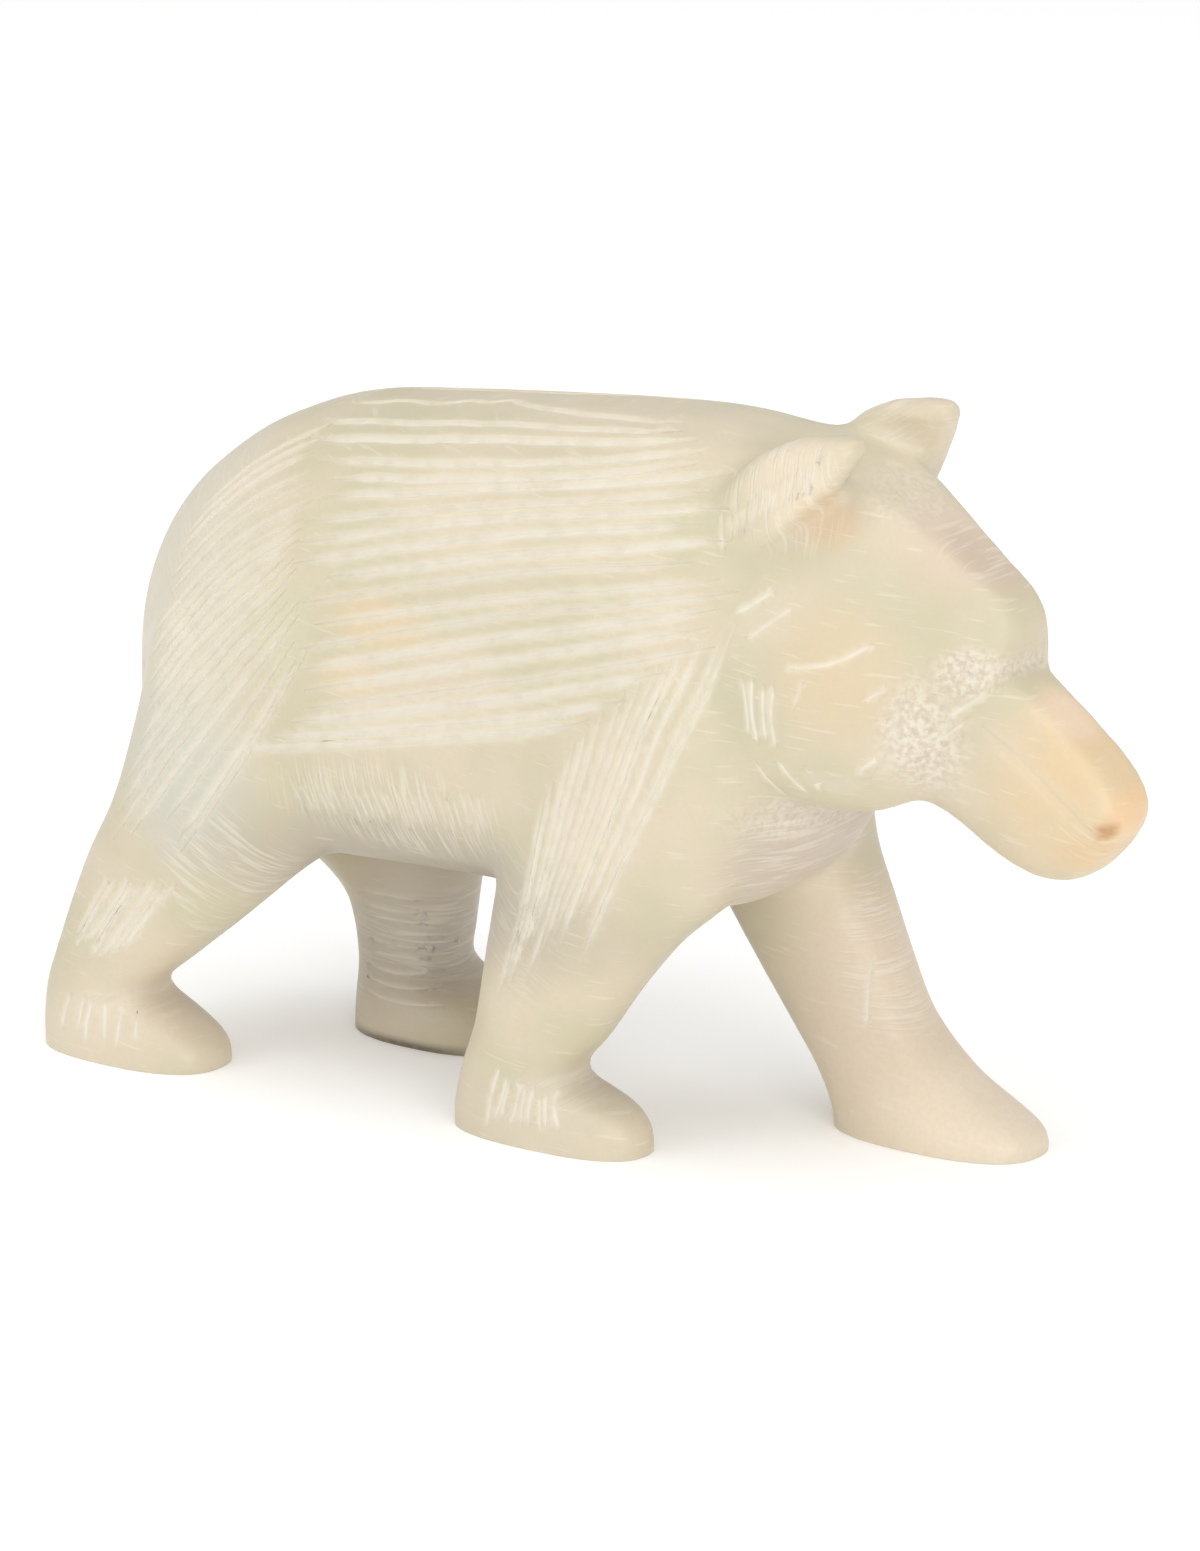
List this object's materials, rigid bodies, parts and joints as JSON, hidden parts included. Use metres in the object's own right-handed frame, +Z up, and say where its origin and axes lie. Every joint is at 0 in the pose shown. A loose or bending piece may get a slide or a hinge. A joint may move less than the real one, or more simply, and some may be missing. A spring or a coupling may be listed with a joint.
{
  "type": "soapstone bear carving",
  "caption": "Walking bear with lowered head, carved from one block of pale soapstone, gouged fur furrows on flanks and legs, standing on flat soles.",
  "frame": {"origin": "on the ground, below the middle of the carving's bounding box", "axes": "+X from rump to nose, +Y to the bear's left, +Z up from the soles"},
  "size_m": [0.1499, 0.0474, 0.0946],
  "materials": {
    "soapstone": "waxed, with chalky tool marks"
  },
  "bodies": {
    "root": {"bear": "soapstone"}
  },
  "joints": []
}
